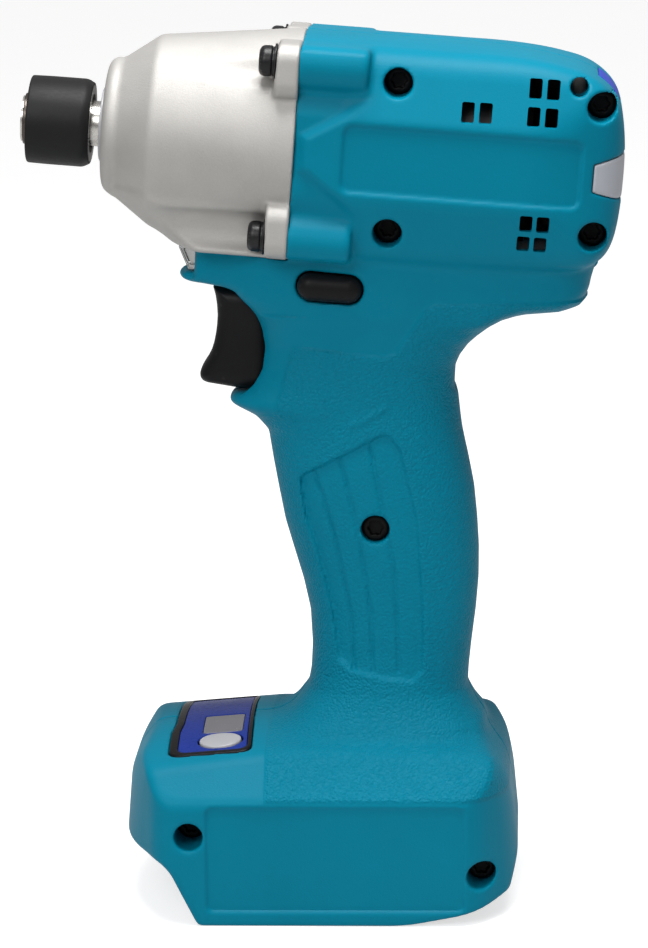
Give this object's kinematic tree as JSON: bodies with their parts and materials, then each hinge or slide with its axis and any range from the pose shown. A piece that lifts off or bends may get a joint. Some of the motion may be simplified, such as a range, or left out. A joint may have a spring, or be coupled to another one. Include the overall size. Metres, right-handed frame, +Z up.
{
  "type": "impact driver",
  "caption": "Pistol-grip cordless impact driver with die-cast hammer case, hex bit sleeve, trigger, reversing lever and a display on its battery base",
  "frame": {"origin": "midway along and across the tool, on the surface that the base's side skirts stand on", "axes": "+Z up, -X toward the nose, +Y to the right-hand side as held; the drive axis points up at the nose by 4.8 degrees"},
  "size_m": [0.1467, 0.072, 0.216],
  "materials": {
    "teal_plastic": "moulded, part fine-grained",
    "cast_alu": "die-cast, bare, finely blasted",
    "black_steel": "black oxide",
    "steel": "ground",
    "dark_steel": "hardened",
    "black_plastic": "satin",
    "black_rubber": "matte",
    "pale_plastic": "satin",
    "clear_plastic": "clear",
    "blue_film": "printed film",
    "smoke_film": "smoked window",
    "bronze": "sintered",
    "copper": "enamelled",
    "laminations": "stacked",
    "board": "coated board"
  },
  "bodies": {
    "tool": {"housing_left": "teal_plastic", "housing_right": "teal_plastic", "hammer_case": "cast_alu", "case_screws": "black_steel", "case_washers": "black_steel", "housing_screws": "black_steel", "nose_seal": "black_rubber", "anvil_bush": "bronze", "anvil_washer": "pale_plastic", "ring_gear": "dark_steel", "gear_case": "black_plastic", "spindle_bearing": "steel", "rotor_front_bearing": "steel", "rotor_rear_bearing": "steel", "bearing_cushion": "black_rubber", "stator_core": "laminations", "stator_coils": "copper", "sensor_board": "board", "switch_body": "black_plastic", "trigger_spring": "steel", "lamp_lens": "clear_plastic", "lamp_board": "board", "display_frame": "black_plastic", "display_panel": "blue_film", "display_window": "smoke_film", "display_board": "board", "status_lens": "clear_plastic", "status_board": "board", "rear_cap": "blue_film", "hanger_tube": "steel", "controller_tray": "cast_alu", "controller_board": "board", "battery_mount": "black_plastic", "terminal_blades": "copper", "lead_wires": "black_rubber"},
    "spindle": {"spindle": "steel", "planet_pins": "dark_steel", "hammer_spring": "steel"},
    "planet_a": {"planet_gear_a": "steel"},
    "planet_b": {"planet_gear_b": "steel"},
    "spring_washer": {"thrust_washer": "steel"},
    "hammer": {"hammer": "dark_steel", "cam_balls": "steel", "thrust_balls": "steel"},
    "anvil": {"anvil": "steel", "retaining_balls": "steel", "stop_ring": "black_steel", "spring_seat": "steel", "sleeve_spring": "steel", "sleeve_washer": "pale_plastic"},
    "sleeve": {"sleeve_core": "dark_steel", "sleeve_cover": "black_rubber"},
    "rotor": {"rotor_shaft": "steel", "rotor_core": "dark_steel", "fan": "black_plastic"},
    "trigger": {"trigger": "black_plastic"},
    "lever": {"reversing_lever": "black_plastic"},
    "button": {"lamp_button": "pale_plastic"}
  },
  "joints": [
    {"name": "spindle_spin", "type": "hinge", "parent": "tool", "child": "spindle", "pos_m": [-0.00553, 0, 0.188], "axis": [0.9965, 0, -0.0837], "continuous": true},
    {"name": "planet_a_spin", "type": "hinge", "parent": "spindle", "child": "planet_a", "pos_m": [0.00145, -0.01125, 0.18741], "axis": [0.9965, 0, -0.0837], "continuous": true},
    {"name": "planet_b_spin", "type": "hinge", "parent": "spindle", "child": "planet_b", "pos_m": [0.00145, 0.01125, 0.18741], "axis": [0.9965, 0, -0.0837], "continuous": true},
    {"name": "hammer_retract", "type": "slide", "parent": "spindle", "child": "spring_washer", "axis": [0.9965, 0, -0.0837], "range_m": [0, 0.008], "stiffness_N_per_m": 3000, "springref_m": -0.006, "deforming": ["hammer_spring"]},
    {"name": "hammer_turn", "type": "hinge", "parent": "spring_washer", "child": "hammer", "pos_m": [-0.02347, 0, 0.18951], "axis": [0.9965, 0, -0.0837], "range_deg": [-60.2, 0.2]},
    {"name": "anvil_spin", "type": "hinge", "parent": "tool", "child": "anvil", "pos_m": [-0.04539, 0, 0.19135], "axis": [0.9965, 0, -0.0837], "continuous": true},
    {"name": "sleeve_pull", "type": "slide", "parent": "anvil", "child": "sleeve", "axis": [-0.9965, 0, 0.0837], "range_m": [0, 0.0035], "stiffness_N_per_m": 600, "springref_m": -0.004, "deforming": ["sleeve_spring"]},
    {"name": "rotor_spin", "type": "hinge", "parent": "tool", "child": "rotor", "pos_m": [0.03433, 0, 0.18465], "axis": [0.9965, 0, -0.0837], "continuous": true},
    {"name": "trigger_pull", "type": "slide", "parent": "tool", "child": "trigger", "axis": [1, 0, 0], "range_m": [0, 0.006], "stiffness_N_per_m": 800, "springref_m": -0.004, "deforming": ["trigger_spring"]},
    {"name": "lever_shift", "type": "slide", "parent": "tool", "child": "lever", "axis": [0, 1, 0], "range_m": [-0.002, 0.002]},
    {"name": "lamp_button_press", "type": "slide", "parent": "tool", "child": "button", "axis": [0.0809, 0.1592, -0.9839], "range_m": [0, 0.0006], "stiffness_N_per_m": 1500, "springref_m": -0.0005}
  ],
  "couplings": [
    {"joint": "rotor_spin", "follows": "spindle_spin", "ratio": 5},
    {"joint": "planet_a_spin", "follows": "spindle_spin", "ratio": -2.6667},
    {"joint": "planet_b_spin", "follows": "spindle_spin", "ratio": -2.6667},
    {"joint": "anvil_spin", "follows": "spindle_spin", "ratio": 1},
    {"joint": "hammer_turn", "follows": "hammer_retract", "rad_per_m": -130.9}
  ]
}
